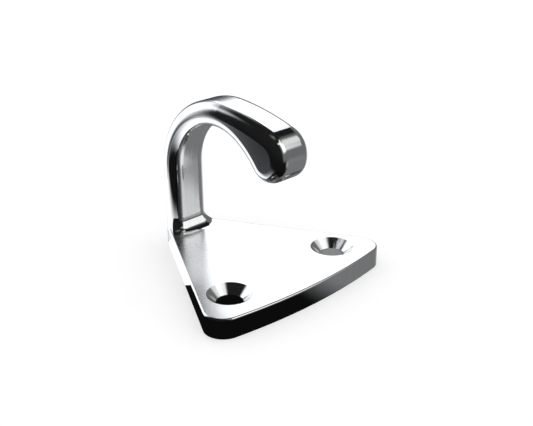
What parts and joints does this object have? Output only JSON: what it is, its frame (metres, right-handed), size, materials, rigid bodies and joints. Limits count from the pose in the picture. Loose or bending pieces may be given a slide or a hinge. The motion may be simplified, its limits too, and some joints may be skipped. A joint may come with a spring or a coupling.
{
  "type": "lashing hook",
  "caption": "Cast lashing hook: a bar rises from the corner of a blunt triangular plate, arches forward and ends in a rounded bulb; it is fixed by countersunk screws.",
  "frame": {"origin": "midway between the two screw holes, on the underside of the plate", "axes": "+X runs from hole to hole, +Y toward the stem at the back corner of the plate, +Z away from the surface that the hook is screwed to; the mouth of the hook opens toward -Y"},
  "size_m": [0.0478, 0.0454, 0.0375],
  "materials": {
    "lashing_hook": "mirror-polished stainless steel"
  },
  "bodies": {
    "root": {"lashing_hook": "lashing_hook"}
  },
  "joints": []
}
